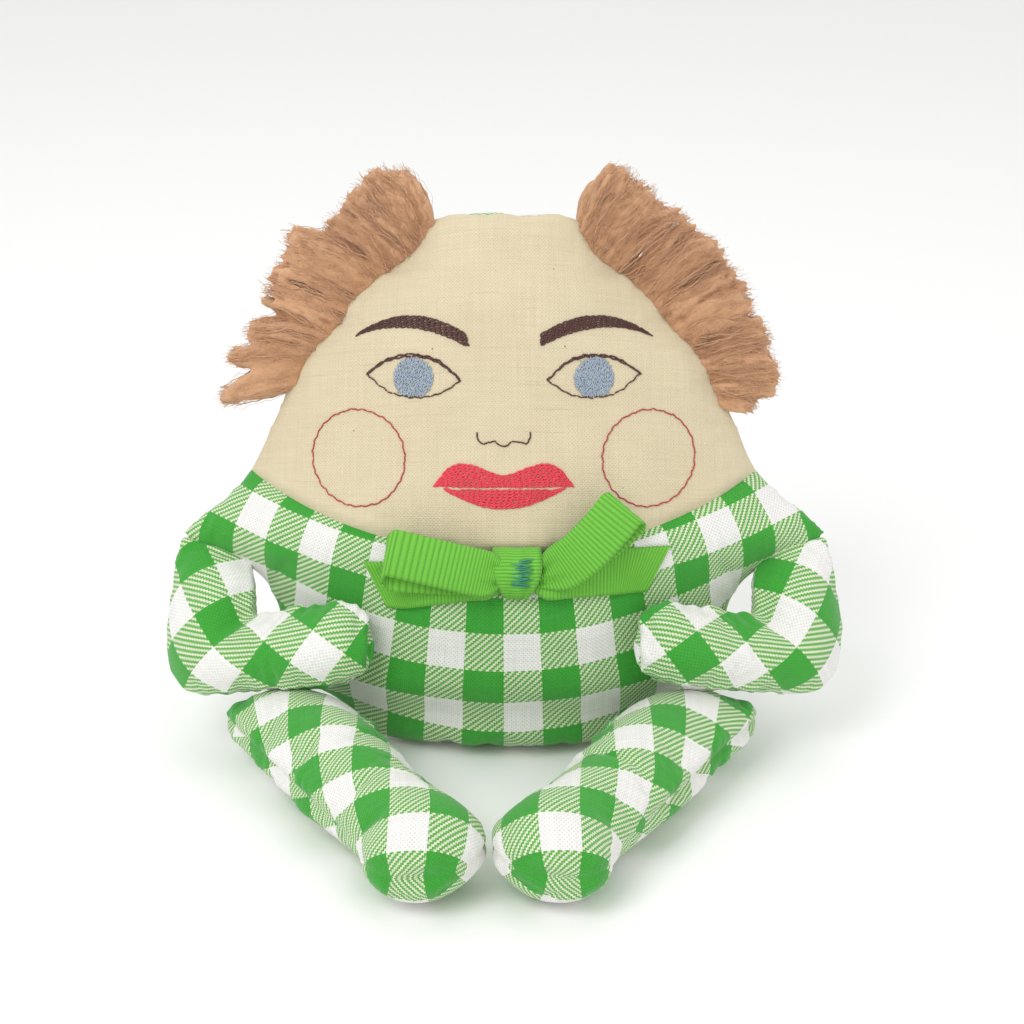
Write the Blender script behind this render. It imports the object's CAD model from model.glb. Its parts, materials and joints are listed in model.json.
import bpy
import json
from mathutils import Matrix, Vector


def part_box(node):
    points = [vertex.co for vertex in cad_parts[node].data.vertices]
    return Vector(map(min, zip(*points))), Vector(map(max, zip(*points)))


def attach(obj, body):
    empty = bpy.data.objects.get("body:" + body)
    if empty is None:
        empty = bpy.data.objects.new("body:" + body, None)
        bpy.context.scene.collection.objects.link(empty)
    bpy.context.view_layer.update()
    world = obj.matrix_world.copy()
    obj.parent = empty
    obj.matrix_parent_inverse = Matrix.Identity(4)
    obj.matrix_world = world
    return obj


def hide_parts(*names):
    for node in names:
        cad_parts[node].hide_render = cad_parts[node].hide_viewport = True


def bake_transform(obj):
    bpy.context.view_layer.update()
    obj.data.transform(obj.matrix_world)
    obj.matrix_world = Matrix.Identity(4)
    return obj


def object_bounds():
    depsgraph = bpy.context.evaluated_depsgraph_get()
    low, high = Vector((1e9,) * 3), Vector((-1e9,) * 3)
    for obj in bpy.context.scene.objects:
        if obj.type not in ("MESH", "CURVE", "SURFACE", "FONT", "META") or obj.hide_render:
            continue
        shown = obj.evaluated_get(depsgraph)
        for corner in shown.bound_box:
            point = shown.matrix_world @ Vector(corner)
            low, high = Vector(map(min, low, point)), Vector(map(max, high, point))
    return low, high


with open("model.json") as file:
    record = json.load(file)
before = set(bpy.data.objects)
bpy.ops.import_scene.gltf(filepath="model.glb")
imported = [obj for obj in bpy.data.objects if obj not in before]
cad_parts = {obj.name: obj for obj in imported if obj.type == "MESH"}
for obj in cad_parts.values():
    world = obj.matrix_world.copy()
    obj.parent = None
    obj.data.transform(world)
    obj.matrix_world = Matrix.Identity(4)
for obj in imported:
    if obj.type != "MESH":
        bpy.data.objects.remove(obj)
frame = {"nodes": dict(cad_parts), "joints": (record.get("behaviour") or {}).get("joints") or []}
cadBox = [list(corner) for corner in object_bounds()]

import bpy
import bmesh
import json
import math
import random
import numpy as np
from mathutils import Matrix, Vector, noise
from mathutils.bvhtree import BVHTree
from mathutils.kdtree import KDTree

mm = 0.001
joints = {joint["name"]: joint for joint in frame["joints"]}
nodes = frame["nodes"]
scene = bpy.context.scene

# the torso leans back, so most of the doll is laid out along it and out of it
torso = {"lean": math.radians(15), "check": 9.5 * mm}
alongTorso = Vector((0, math.sin(torso["lean"]), math.cos(torso["lean"])))
outOfTorso = Vector((0, -math.cos(torso["lean"]), math.sin(torso["lean"])))


def torsoPoint(x, stand, height):
    return Vector((x, 0, 0)) + outOfTorso * stand + alongTorso * height


def onTorso(point):
    return Vector((point.x, point.dot(outOfTorso), point.dot(alongTorso)))


def addObject(name, data):
    made = bpy.data.objects.new(name, data)
    scene.collection.objects.link(made)
    return made


def meshObject(name, verts, faces, edges=()):
    mesh = bpy.data.meshes.new(name)
    mesh.from_pydata([tuple(v) for v in verts], list(edges), [tuple(f) for f in faces])
    mesh.validate()
    return addObject(name, mesh)


def bakeModifiers(obj):
    deps = bpy.context.evaluated_depsgraph_get()
    baked = bpy.data.meshes.new_from_object(obj.evaluated_get(deps), depsgraph=deps)
    obj.modifiers.clear()
    old = obj.data
    obj.data = baked
    if isinstance(old, bpy.types.Mesh):
        bpy.data.meshes.remove(old)
    return obj


def treeOf(*nodeNames):
    verts = []
    faces = []
    for nodeName in nodeNames:
        mesh = nodes[nodeName].data
        base = len(verts)
        verts += [v.co.copy() for v in mesh.vertices]
        faces += [[base + i for i in p.vertices] for p in mesh.polygons]
    return BVHTree.FromPolygons(verts, faces)


def ease(t):
    t = min(max(t, 0), 1)
    return t * t * (3 - 2 * t)


def smoothShade(obj):
    obj.data.polygons.foreach_set("use_smooth", [True] * len(obj.data.polygons))
    return obj


def newMaterial(name):
    made = bpy.data.materials.new(name)
    made.use_nodes = True
    tree = made.node_tree
    shader = tree.nodes["Principled BSDF"]
    return made, tree, shader


def calc(tree, operation, first, second=None, third=None):
    node = tree.nodes.new("ShaderNodeMath")
    node.operation = operation
    for socket, value in zip(node.inputs, (first, second, third)):
        if value is None:
            continue
        if isinstance(value, (int, float)):
            socket.default_value = value
        else:
            tree.links.new(value, socket)
    return node.outputs[0]


def mixColor(tree, share, first, second, blend="MIX"):
    node = tree.nodes.new("ShaderNodeMix")
    node.data_type = "RGBA"
    node.blend_type = blend
    for index, value in ((0, share), (6, first), (7, second)):
        if isinstance(value, (int, float)):
            node.inputs[index].default_value = value
        elif isinstance(value, tuple):
            node.inputs[index].default_value = (*value, 1)
        else:
            tree.links.new(value, node.inputs[index])
    return node.outputs[2]


def noiseOf(tree, coords, scale, detail=2.0, roughness=0.5):
    node = tree.nodes.new("ShaderNodeTexNoise")
    node.inputs["Scale"].default_value = scale
    node.inputs["Detail"].default_value = detail
    node.inputs["Roughness"].default_value = roughness
    tree.links.new(coords, node.inputs["Vector"])
    return node.outputs["Fac"]


def bumpOf(tree, height, distance, strength=1.0, below=None):
    node = tree.nodes.new("ShaderNodeBump")
    node.inputs["Strength"].default_value = strength
    node.inputs["Distance"].default_value = distance
    tree.links.new(height, node.inputs["Height"])
    if below is not None:
        tree.links.new(below, node.inputs["Normal"])
    return node.outputs[0]


# x and y along the cloth's own threads, in millimetres
def grainOf(tree):
    uv = tree.nodes.new("ShaderNodeUVMap")
    uv.uv_map = "grain"
    split = tree.nodes.new("ShaderNodeSeparateXYZ")
    tree.links.new(uv.outputs[0], split.inputs[0])
    across = calc(tree, "MULTIPLY", split.outputs[0], 1000)
    along = calc(tree, "MULTIPLY", split.outputs[1], 1000)
    return across, along


# height of a plain weave: each thread rises where it passes over the other
def plainWeave(tree, across, along, pitch):
    a = calc(tree, "SINE", calc(tree, "MULTIPLY", across, math.pi / pitch))
    b = calc(tree, "SINE", calc(tree, "MULTIPLY", along, math.pi / pitch))
    over = calc(tree, "MULTIPLY", a, b)
    ridges = calc(tree, "ADD", calc(tree, "MULTIPLY", a, a), calc(tree, "MULTIPLY", b, b))
    return calc(tree, "ADD", calc(tree, "MULTIPLY", over, 0.5), calc(tree, "MULTIPLY", ridges, -0.5))


# a slow change of shade from thread to thread, both ways
def threadShade(tree, across, along, pitch):
    combined = []
    for value, other in ((across, along), (along, across)):
        thread = calc(tree, "FLOOR", calc(tree, "DIVIDE", value, pitch))
        pair = tree.nodes.new("ShaderNodeCombineXYZ")
        tree.links.new(thread, pair.inputs[0])
        tree.links.new(calc(tree, "MULTIPLY", other, 0.06), pair.inputs[1])
        combined.append(noiseOf(tree, pair.outputs[0], 0.9, 1.0))
    return calc(tree, "MULTIPLY", calc(tree, "ADD", combined[0], combined[1]), 0.5)


gingham = {
    "green": (0.045, 0.36, 0.035), "stripe": (0.13, 0.42, 0.08), "cream": (0.74, 0.78, 0.58),
    "white": (0.86, 0.85, 0.82), "thread": 0.52, "stripePitch": 1.62, "stripeLight": 0.44,
}


def ginghamMaterial():
    made, tree, shader = newMaterial("gingham cotton")
    across, along = grainOf(tree)
    thread = gingham["thread"]
    check = torso["check"] / mm

    def stepped(value):
        return calc(tree, "MULTIPLY", calc(tree, "FLOOR", calc(tree, "DIVIDE", value, thread)), thread)

    def band(value):
        share = calc(tree, "FRACT", calc(tree, "DIVIDE", stepped(value), 2 * check))
        return calc(tree, "LESS_THAN", share, 0.5)

    warp = band(across)
    weft = band(along)
    both = calc(tree, "MULTIPLY", warp, weft)
    either = calc(tree, "MAXIMUM", warp, weft)
    slope = calc(tree, "SUBTRACT", stepped(along), calc(tree, "MULTIPLY", across, 0.95))
    twill = calc(tree, "LESS_THAN", calc(tree, "FRACT", calc(tree, "DIVIDE", slope, gingham["stripePitch"])),
                 gingham["stripeLight"])
    half = mixColor(tree, twill, gingham["stripe"], gingham["cream"])
    tint = mixColor(tree, either, gingham["white"], half)
    tint = mixColor(tree, both, tint, gingham["green"])
    weave = plainWeave(tree, across, along, thread)
    shade = threadShade(tree, across, along, thread)
    depth = calc(tree, "ADD", calc(tree, "MULTIPLY", weave, 0.16),
                 calc(tree, "MULTIPLY_ADD", shade, 0.34, 0.83))
    grey = tree.nodes.new("ShaderNodeCombineColor")
    for socket in grey.inputs:
        tree.links.new(depth, socket)
    tint = mixColor(tree, 1.0, tint, grey.outputs[0], "MULTIPLY")
    tree.links.new(tint, shader.inputs["Base Color"])
    tree.links.new(bumpOf(tree, weave, 0.00012, 0.8), shader.inputs["Normal"])
    tree.links.new(calc(tree, "MULTIPLY_ADD", shade, 0.15, 0.78), shader.inputs["Roughness"])
    shader.inputs["Sheen Weight"].default_value = 0.25
    shader.inputs["Sheen Roughness"].default_value = 0.5
    shader.inputs["Specular IOR Level"].default_value = 0.25
    return made


calico = {"cream": (0.72, 0.63, 0.445), "deep": (0.62, 0.53, 0.35), "fleck": (0.16, 0.11, 0.06),
          "thread": 0.46}


def calicoMaterial():
    made, tree, shader = newMaterial("unbleached calico")
    across, along = grainOf(tree)
    pair = tree.nodes.new("ShaderNodeCombineXYZ")
    tree.links.new(across, pair.inputs[0])
    tree.links.new(along, pair.inputs[1])
    cloud = noiseOf(tree, pair.outputs[0], 0.05, 4.0, 0.6)
    tint = mixColor(tree, cloud, calico["deep"], calico["cream"])
    slub = tree.nodes.new("ShaderNodeMapping")
    slub.inputs["Scale"].default_value = (0.05, 1.4, 1)
    tree.links.new(pair.outputs[0], slub.inputs["Vector"])
    streak = noiseOf(tree, slub.outputs[0], 1.0, 2.0)
    streak = calc(tree, "SMOOTH_MAX", calc(tree, "SUBTRACT", streak, 0.62), 0.0, 0.03)
    tint = mixColor(tree, calc(tree, "MULTIPLY", streak, 2.2), tint, (0.50, 0.40, 0.24))
    speck = tree.nodes.new("ShaderNodeTexVoronoi")
    speck.inputs["Scale"].default_value = 0.085
    tree.links.new(pair.outputs[0], speck.inputs["Vector"])
    dot = calc(tree, "LESS_THAN", speck.outputs["Distance"], 0.022)
    tint = mixColor(tree, calc(tree, "MULTIPLY", dot, 0.75), tint, calico["fleck"])
    weave = plainWeave(tree, across, along, calico["thread"])
    shade = threadShade(tree, across, along, calico["thread"])
    uneven = calc(tree, "MULTIPLY_ADD", shade, 0.26, 0.88)
    depth = calc(tree, "ADD", calc(tree, "MULTIPLY", weave, 0.10), uneven)
    grey = tree.nodes.new("ShaderNodeCombineColor")
    for socket in grey.inputs:
        tree.links.new(depth, socket)
    tint = mixColor(tree, 1.0, tint, grey.outputs[0], "MULTIPLY")
    tree.links.new(tint, shader.inputs["Base Color"])
    lump = bumpOf(tree, streak, 0.0004, 0.6)
    tree.links.new(bumpOf(tree, weave, 0.0001, 0.7, lump), shader.inputs["Normal"])
    shader.inputs["Roughness"].default_value = 0.86
    shader.inputs["Sheen Weight"].default_value = 0.2
    shader.inputs["Specular IOR Level"].default_value = 0.2
    return made


# embroidery thread: fine twisted strands that catch the light
def threadMaterial(name, dark, light, roughness=0.42, sparkle=0.0):
    made, tree, shader = newMaterial(name)
    place = tree.nodes.new("ShaderNodeTexCoord").outputs["Object"]
    fine = noiseOf(tree, place, 2600, 2.0)
    broad = noiseOf(tree, place, 420, 2.0)
    share = calc(tree, "MULTIPLY_ADD", fine, 0.7, calc(tree, "MULTIPLY", broad, 0.35))
    tree.links.new(mixColor(tree, share, dark, light), shader.inputs["Base Color"])
    tree.links.new(bumpOf(tree, fine, 0.0001, 0.7), shader.inputs["Normal"])
    shader.inputs["Roughness"].default_value = roughness
    shader.inputs["Sheen Weight"].default_value = 0.12
    shader.inputs["Specular IOR Level"].default_value = 0.5 + sparkle
    return made


def woolMaterial():
    made, tree, shader = newMaterial("tan wool yarn")
    strand = tree.nodes.new("ShaderNodeAttribute")
    strand.attribute_name = "strandShade"
    place = tree.nodes.new("ShaderNodeTexCoord").outputs["Object"]
    fine = noiseOf(tree, place, 1500, 3.0, 0.7)
    share = calc(tree, "MULTIPLY_ADD", fine, 0.4, calc(tree, "MULTIPLY", strand.outputs["Fac"], 0.65))
    tint = mixColor(tree, share, (0.40, 0.185, 0.085), (0.72, 0.43, 0.25))
    tree.links.new(tint, shader.inputs["Base Color"])
    fluff = bumpOf(tree, noiseOf(tree, place, 520, 3.0, 0.65), 0.0011, 0.8)
    tree.links.new(bumpOf(tree, fine, 0.0003, 0.8, fluff), shader.inputs["Normal"])
    shader.inputs["Roughness"].default_value = 0.9
    shader.inputs["Sheen Weight"].default_value = 0.6
    shader.inputs["Sheen Tint"].default_value = (1.0, 0.86, 0.72, 1)
    shader.inputs["Specular IOR Level"].default_value = 0.2
    return made


def ribbonMaterial():
    made, tree, shader = newMaterial("lime grosgrain ribbon")
    across, along = grainOf(tree)
    pair = tree.nodes.new("ShaderNodeCombineXYZ")
    tree.links.new(across, pair.inputs[0])
    tree.links.new(along, pair.inputs[1])
    fine = noiseOf(tree, pair.outputs[0], 3.0, 2.0)
    warp = calc(tree, "SINE", calc(tree, "MULTIPLY", along, 2 * math.pi / 0.28))
    rib = calc(tree, "ABSOLUTE", calc(tree, "COSINE", calc(tree, "MULTIPLY", across, math.pi / 0.95)))
    share = calc(tree, "ADD", calc(tree, "MULTIPLY", fine, 0.35), calc(tree, "MULTIPLY", warp, 0.10))
    share = calc(tree, "ADD", share, calc(tree, "MULTIPLY", calc(tree, "POWER", rib, 0.7), 0.55))
    tint = mixColor(tree, share, (0.045, 0.26, 0.006), (0.20, 0.64, 0.045))
    tree.links.new(tint, shader.inputs["Base Color"])
    tree.links.new(bumpOf(tree, warp, 0.00004, 0.6), shader.inputs["Normal"])
    shader.inputs["Roughness"].default_value = 0.46
    shader.inputs["Sheen Weight"].default_value = 0.2
    shader.inputs["Specular IOR Level"].default_value = 0.45
    return made


materials = {
    "gingham": ginghamMaterial(),
    "calico": calicoMaterial(),
    "brown_thread": threadMaterial("maroon brown thread", (0.030, 0.005, 0.004), (0.105, 0.024, 0.017)),
    "iris_thread": threadMaterial("blue grey thread", (0.10, 0.15, 0.22), (0.47, 0.55, 0.64), 0.3, 0.3),
    "crimson_thread": threadMaterial("crimson thread", (0.50, 0.010, 0.028), (0.95, 0.06, 0.10)),
    "cheek_thread": threadMaterial("dark red thread", (0.26, 0.012, 0.018), (0.56, 0.05, 0.06)),
    "teal_thread": threadMaterial("teal thread", (0.01, 0.13, 0.075), (0.06, 0.40, 0.25)),
    "yarn_hair": woolMaterial(),
    "ribbon": ribbonMaterial(),
}
print("materials made")


# one closed skin round the named solids, eased so that no cut between them shows
def stuffedShape(name, nodeNames, voxel, rounds):
    verts = []
    faces = []
    for nodeName in nodeNames:
        mesh = nodes[nodeName].data
        base = len(verts)
        verts += [v.co.copy() for v in mesh.vertices]
        faces += [[base + i for i in p.vertices] for p in mesh.polygons]
    made = meshObject(name, verts, faces)
    remesh = made.modifiers.new("even mesh", "REMESH")
    remesh.mode = "VOXEL"
    remesh.voxel_size = voxel
    bakeModifiers(made)
    softer = made.modifiers.new("softer", "SMOOTH")
    softer.factor = 0.5
    softer.iterations = rounds
    bakeModifiers(made)
    return made


# which panel each face belongs to: the one whose solid lies nearest
def panelOfFaces(obj, groups, handicaps=(0, 0, 0)):
    trees = [treeOf(*names) for names in groups]
    picked = []
    for face in obj.data.polygons:
        distances = [tree.find_nearest(face.center)[3] + extra for tree, extra in zip(trees, handicaps)]
        picked.append(distances.index(min(distances)))
    return picked, trees


# eases the line between two panels along itself and lays it where their solids meet
def snapSeams(obj, picked, trees, rounds):
    mesh = obj.data
    touching = [set() for _ in mesh.vertices]
    sides = {}
    for face, panel in zip(mesh.polygons, picked):
        for index in face.vertices:
            touching[index].add(panel)
        for key in face.edge_keys:
            sides.setdefault(key, set()).add(panel)
    beside = {}
    for (first, second), panels in sides.items():
        if len(panels) > 1:
            beside.setdefault(first, []).append(second)
            beside.setdefault(second, []).append(first)
    for _ in range(rounds):
        moved = {}
        for index, others in beside.items():
            middle = sum((mesh.vertices[i].co for i in others), Vector()) / len(others)
            moved[index] = mesh.vertices[index].co.lerp(middle, 0.5)
        for index, place in moved.items():
            near = [trees[panel].find_nearest(place)[0] for panel in touching[index]]
            target = sum(near, Vector()) / len(near)
            mesh.vertices[index].co = place.lerp(target, 0.75)
    return beside


# takes the last unevenness out of the seam lines
def evenSeam(obj, beside, rounds):
    for _ in range(rounds):
        moved = {}
        for index, others in beside.items():
            if len(others) == 2:
                middle = (obj.data.vertices[others[0]].co + obj.data.vertices[others[1]].co) / 2
                moved[index] = obj.data.vertices[index].co.lerp(middle, 0.5)
        for index, place in moved.items():
            obj.data.vertices[index].co = place
    nextTo = {}
    for edge in obj.data.edges:
        first, second = edge.vertices
        nextTo.setdefault(first, []).append(second)
        nextTo.setdefault(second, []).append(first)
    band = {i for index in beside for i in nextTo[index]} - set(beside)
    for _ in range(4):
        moved = {}
        for index in band:
            others = nextTo[index]
            middle = sum((obj.data.vertices[i].co for i in others), Vector()) / len(others)
            moved[index] = obj.data.vertices[index].co.lerp(middle, 0.5)
        for index, place in moved.items():
            obj.data.vertices[index].co = place


# blows the stuffed cloth up against its seams, so that it swells and wrinkles beside them
def inflate(obj, seam, settings):
    mesh = obj.data
    before = np.empty(len(mesh.vertices) * 3)
    mesh.vertices.foreach_get("co", before)
    grow = settings["simScale"]
    mesh.transform(Matrix.Scale(grow, 4))
    held = obj.vertex_groups.new(name="held")
    held.add(list(seam), 1.0, "REPLACE")
    cloth = obj.modifiers.new("inflate", "CLOTH")
    cloth.settings.quality = 6
    cloth.settings.mass = settings["simMass"]
    cloth.settings.use_pressure = True
    cloth.settings.uniform_pressure_force = settings["pressure"]
    cloth.settings.shrink_min = -settings["fullness"]
    cloth.settings.tension_stiffness = 25
    cloth.settings.compression_stiffness = 25
    cloth.settings.bending_stiffness = 0.2
    cloth.settings.vertex_group_mass = "held"
    cloth.settings.effector_weights.gravity = 0
    cloth.collision_settings.use_collision = False
    cloth.point_cache.frame_start = 1
    cloth.point_cache.frame_end = settings["simFrames"]
    for frameNumber in range(1, settings["simFrames"] + 1):
        scene.frame_set(frameNumber)
    bakeModifiers(obj)
    scene.frame_set(1)
    mesh = obj.data
    mesh.transform(Matrix.Scale(1 / grow, 4))
    after = np.empty(len(mesh.vertices) * 3)
    mesh.vertices.foreach_get("co", after)
    moved = (after - before).reshape(-1, 3)
    size = np.linalg.norm(moved, axis=1, keepdims=True)
    print(obj.name, "inflated, moved at most %.2f mm, on average %.2f mm"
          % (size.max() / mm, size.mean() / mm))
    cap = settings["simCap"]
    moved *= cap * np.tanh(size / cap) / np.maximum(size, 1e-9)
    mesh.vertices.foreach_set("co", (before.reshape(-1, 3) + moved).reshape(-1))
    mesh.update()


# pulls the cloth in along its seams, swells it beside them and adds small puckers
def closeSeam(obj, seam, settings, seed, strength=None):
    tree = KDTree(len(seam))
    for order, index in enumerate(seam):
        tree.insert(obj.data.vertices[index].co, order)
    tree.balance()
    reach = settings["seamReach"]
    normals = [v.normal.copy() for v in obj.data.vertices]
    for vertex, normal in zip(obj.data.vertices, normals):
        away = tree.find(vertex.co)[2]
        pull = math.exp(-(away / reach) ** 2)
        beside = math.exp(-((away - 2.6 * reach) / (1.5 * reach)) ** 2)
        wave = noise.noise(vertex.co * settings["puckerScale"] + Vector((seed, 0, 0)))
        slow = noise.noise(vertex.co * 45 + Vector((0, seed, 0)))
        stretched = Vector((vertex.co.x * 120, vertex.co.y * 60, vertex.co.z * 35 + seed))
        slow += settings["folds"] * noise.noise(stretched)
        share = strength(vertex.co) if strength else 1.0
        vertex.co += normal * (share * (settings["swell"] * beside - settings["seamDepth"] * pull)
                               + settings["pucker"] * wave * (beside + 0.15) + settings["dent"] * slow)


# lays the cloth flat panel by panel and turns and scales each to its place on the weave
def addGrain(obj, picked, layouts):
    mesh = obj.data
    mesh.uv_layers.new(name="grain")
    edgeFaces = {}
    for face, panel in zip(mesh.polygons, picked):
        for key in face.edge_keys:
            edgeFaces.setdefault(key, set()).add(panel)
    for edge in mesh.edges:
        edge.use_seam = len(edgeFaces[tuple(sorted(edge.vertices))]) > 1
    bpy.ops.object.select_all(action="DESELECT")
    obj.select_set(True)
    bpy.context.view_layer.objects.active = obj
    bpy.ops.object.mode_set(mode="EDIT")
    bpy.ops.mesh.select_all(action="SELECT")
    bpy.ops.uv.unwrap(method="MINIMUM_STRETCH", margin=0.01, iterations=12)
    bpy.ops.object.mode_set(mode="OBJECT")
    uv = np.empty(len(mesh.loops) * 2)
    mesh.uv_layers["grain"].data.foreach_get("uv", uv)
    uv = uv.reshape(-1, 2)
    flat = uv[:, 0] + 1j * uv[:, 1]
    loopVertex = np.empty(len(mesh.loops), int)
    mesh.loops.foreach_get("vertex_index", loopVertex)
    places = np.array([v.co[:] for v in mesh.vertices])[loopVertex]
    facing = np.array([v.normal[:] for v in mesh.vertices])[loopVertex]
    panelOfLoop = np.repeat(np.array(picked), [len(f.vertices) for f in mesh.polygons])
    for panel, layout in enumerate(layouts):
        here = panelOfLoop == panel
        rightWay = np.array(layout["right"])
        upWay = np.array(layout["up"])
        goal = places[here] @ rightWay + 1j * (places[here] @ upWay)
        weight = np.clip(np.abs(facing[here] @ np.cross(rightWay, upWay)) - 0.6, 0, 1) + 1e-6
        best = None
        for mirrored in (False, True):     # the flattened panel may come out mirrored
            source = np.conj(flat[here]) if mirrored else flat[here]
            middle = np.average(source, weights=weight)
            target = np.average(goal, weights=weight)
            spread = (weight * np.abs(source - middle) ** 2).sum()
            turn = (weight * (goal - target) * np.conj(source - middle)).sum() / spread
            fitted = (source - middle) * turn + target
            miss = (weight * np.abs(fitted - goal) ** 2).sum()
            if best is None or miss < best[0]:
                best = (miss, fitted)
        angle = layout.get("turn", 0.0)
        laid = best[1] * complex(math.cos(angle), math.sin(angle)) - complex(*layout.get("shift", (0, 0)))
        uv[here, 0] = laid.real
        uv[here, 1] = laid.imag
    mesh.uv_layers["grain"].data.foreach_set("uv", uv.reshape(-1))


# a copy of the skin that keeps only the faces of the wanted panels
def keepPanels(obj, name, picked, wanted):
    made = addObject(name, obj.data.copy())
    work = bmesh.new()
    work.from_mesh(made.data)
    work.faces.ensure_lookup_table()
    gone = [work.faces[i] for i, panel in enumerate(picked) if panel not in wanted]
    bmesh.ops.delete(work, geom=gone, context="FACES")
    work.to_mesh(made.data)
    work.free()
    return made


def finishSkin(obj, materialName):
    obj.data.materials.clear()
    obj.data.materials.append(materials[materialName])
    smoothShade(obj)
    fine = obj.modifiers.new("rounder", "SUBSURF")
    fine.levels = 1
    fine.render_levels = 1
    bakeModifiers(obj)
    smoothShade(obj)


torsoSkin = {
    "voxel": 1.5 * mm, "rounds": 3, "seamRounds": 24,
    "simScale": 10, "simMass": 0.02, "simFrames": 14, "pressure": 3.0, "fullness": 0.03, "simCap": 1.3 * mm,
    "seamDepth": 0.5 * mm, "seamReach": 1.1 * mm,
    "swell": 0.2 * mm, "pucker": 0.2 * mm, "puckerScale": 150, "dent": 0.6 * mm, "folds": 0.75,
    "wrap": 0.5 * mm, "seatHeight": 15 * mm, "seatReach": 12 * mm, "seatSpread": 0.16,
    "columnShift": -9.9 * mm, "rowShift": 1.4 * mm,
}


def makeTorso():
    shape = stuffedShape("torso skin", ["face_panel", "waistcoat_panel", "back_panel", "torso_stuffing"],
                         torsoSkin["voxel"], torsoSkin["rounds"])
    picked, trees = panelOfFaces(shape, [["face_panel"], ["waistcoat_panel"], ["back_panel"]],
                                 (0, 0, torsoSkin["wrap"]))
    seam = snapSeams(shape, picked, trees, torsoSkin["seamRounds"])
    inflate(shape, seam, torsoSkin)
    closeSeam(shape, seam, torsoSkin, 3.0)
    evenSeam(shape, seam, 6)
    for vertex in shape.data.vertices:     # the filling pushes the seat out against the thighs
        laid = onTorso(vertex.co)
        share = math.exp(-((laid.z - torsoSkin["seatHeight"]) / torsoSkin["seatReach"]) ** 2)
        laid.x *= 1 + torsoSkin["seatSpread"] * share
        vertex.co = torsoPoint(laid.x, laid.y, laid.z)
    shift = (torsoSkin["columnShift"], torsoSkin["rowShift"])
    front = {"right": (1, 0, 0), "up": tuple(alongTorso), "shift": shift}
    addGrain(shape, picked, [dict(front, shift=(0, 0)), front, front])
    face = keepPanels(shape, "faceCloth", picked, (0,))
    body = keepPanels(shape, "bodyCloth", picked, (1, 2))
    bpy.data.objects.remove(shape)
    finishSkin(face, "calico")
    finishSkin(body, "gingham")
    for piece in (face, body):
        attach(piece, "torso")
    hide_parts("face_panel")
    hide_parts("waistcoat_panel", "back_panel", "torso_stuffing")
    return face, body


faceCloth, bodyCloth = makeTorso()
print("torso cloth made")

armSkin = {
    "voxel": 1.1 * mm, "rounds": 5, "seamRounds": 16,
    "simScale": 10, "simMass": 0.02, "simFrames": 14, "pressure": 6.0, "fullness": 0.06, "simCap": 1.5 * mm,
    "lift": 5.6 * mm, "widen": 3.2 * mm,
    "seamDepth": 0.5 * mm, "seamReach": 0.9 * mm,
    "swell": 0.7 * mm, "pucker": 0.35 * mm, "puckerScale": 200, "dent": 0.35 * mm, "folds": 0.6,
    "turn": math.radians(45), "bendReach": 5 * mm, "bendRise": 9.8 * mm,
}
legSkin = {
    "voxel": 1.15 * mm, "rounds": 4, "seamRounds": 16,
    "simScale": 10, "simMass": 0.02, "simFrames": 14, "pressure": 6.0, "fullness": 0.06, "simCap": 1.6 * mm,
    "seamDepth": 1.5 * mm, "seamReach": 1.4 * mm,
    "swell": 1.2 * mm, "pucker": 0.5 * mm, "puckerScale": 150, "dent": 0.45 * mm, "folds": 0.6, "rise": 1.08,
    "bendReach": 9 * mm, "kneeInset": 41 * mm, "footLine": -66 * mm, "footReach": 16 * mm,
}


def limbSkin(name, upperNode, lowerNode, frontName, backName, settings, layouts, seed, strength, reshape):
    parts = [upperNode + end for end in (frontName, backName, "_stuffing")]
    parts += [lowerNode + end for end in (frontName, backName, "_stuffing")]
    shape = stuffedShape(name, parts, settings["voxel"], settings["rounds"])
    groups = [[upperNode + frontName, lowerNode + frontName], [upperNode + backName, lowerNode + backName]]
    picked, trees = panelOfFaces(shape, groups)
    seam = snapSeams(shape, picked, trees, settings["seamRounds"])
    inflate(shape, seam, settings)
    closeSeam(shape, seam, settings, seed, strength)
    evenSeam(shape, seam, 4)
    for vertex in shape.data.vertices:
        vertex.co = reshape(vertex.co)
    addGrain(shape, picked, layouts)
    finishSkin(shape, "gingham")
    return shape, parts


def makeArm(sideName, side):
    upper = sideName + "_upper_arm"
    lower = sideName + "_forearm"
    elbow = Vector(joints[sideName + "_elbow"]["pos_m"])
    up = Vector(joints[sideName + "_elbow"]["axis"]) * side
    low, high = [Vector(corner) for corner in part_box(lower + "_stuffing")]
    hand = Vector((low.x if side > 0 else high.x, (low.y + high.y) / 2, (low.z + high.z) / 2))
    right = (hand - elbow) * -side
    right = (right - up * right.dot(up)).normalized()
    layout = {"right": tuple(right), "up": tuple(up), "turn": armSkin["turn"]}
    middle = onTorso(elbow)

    # carries the top of the arm up to the torso's corner, where it is sewn in
    def upToCorner(place):
        laid = onTorso(place)
        share = ease((laid.z - middle.z - 7 * mm) / (11 * mm))
        inner = min(max((abs(middle.x) - abs(laid.x)) / (12 * mm), 0), 1)
        laid.z += armSkin["lift"] * share
        laid.x -= side * armSkin["widen"] * share * inner
        return torsoPoint(laid.x, laid.y, laid.z)

    skin, parts = limbSkin(sideName + "ArmCloth", upper, lower, "_front_panel", "_back_panel",
                           armSkin, [layout, layout], 11.0 * side, None, upToCorner)
    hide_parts(*parts)
    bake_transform(skin)
    return skin


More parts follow.
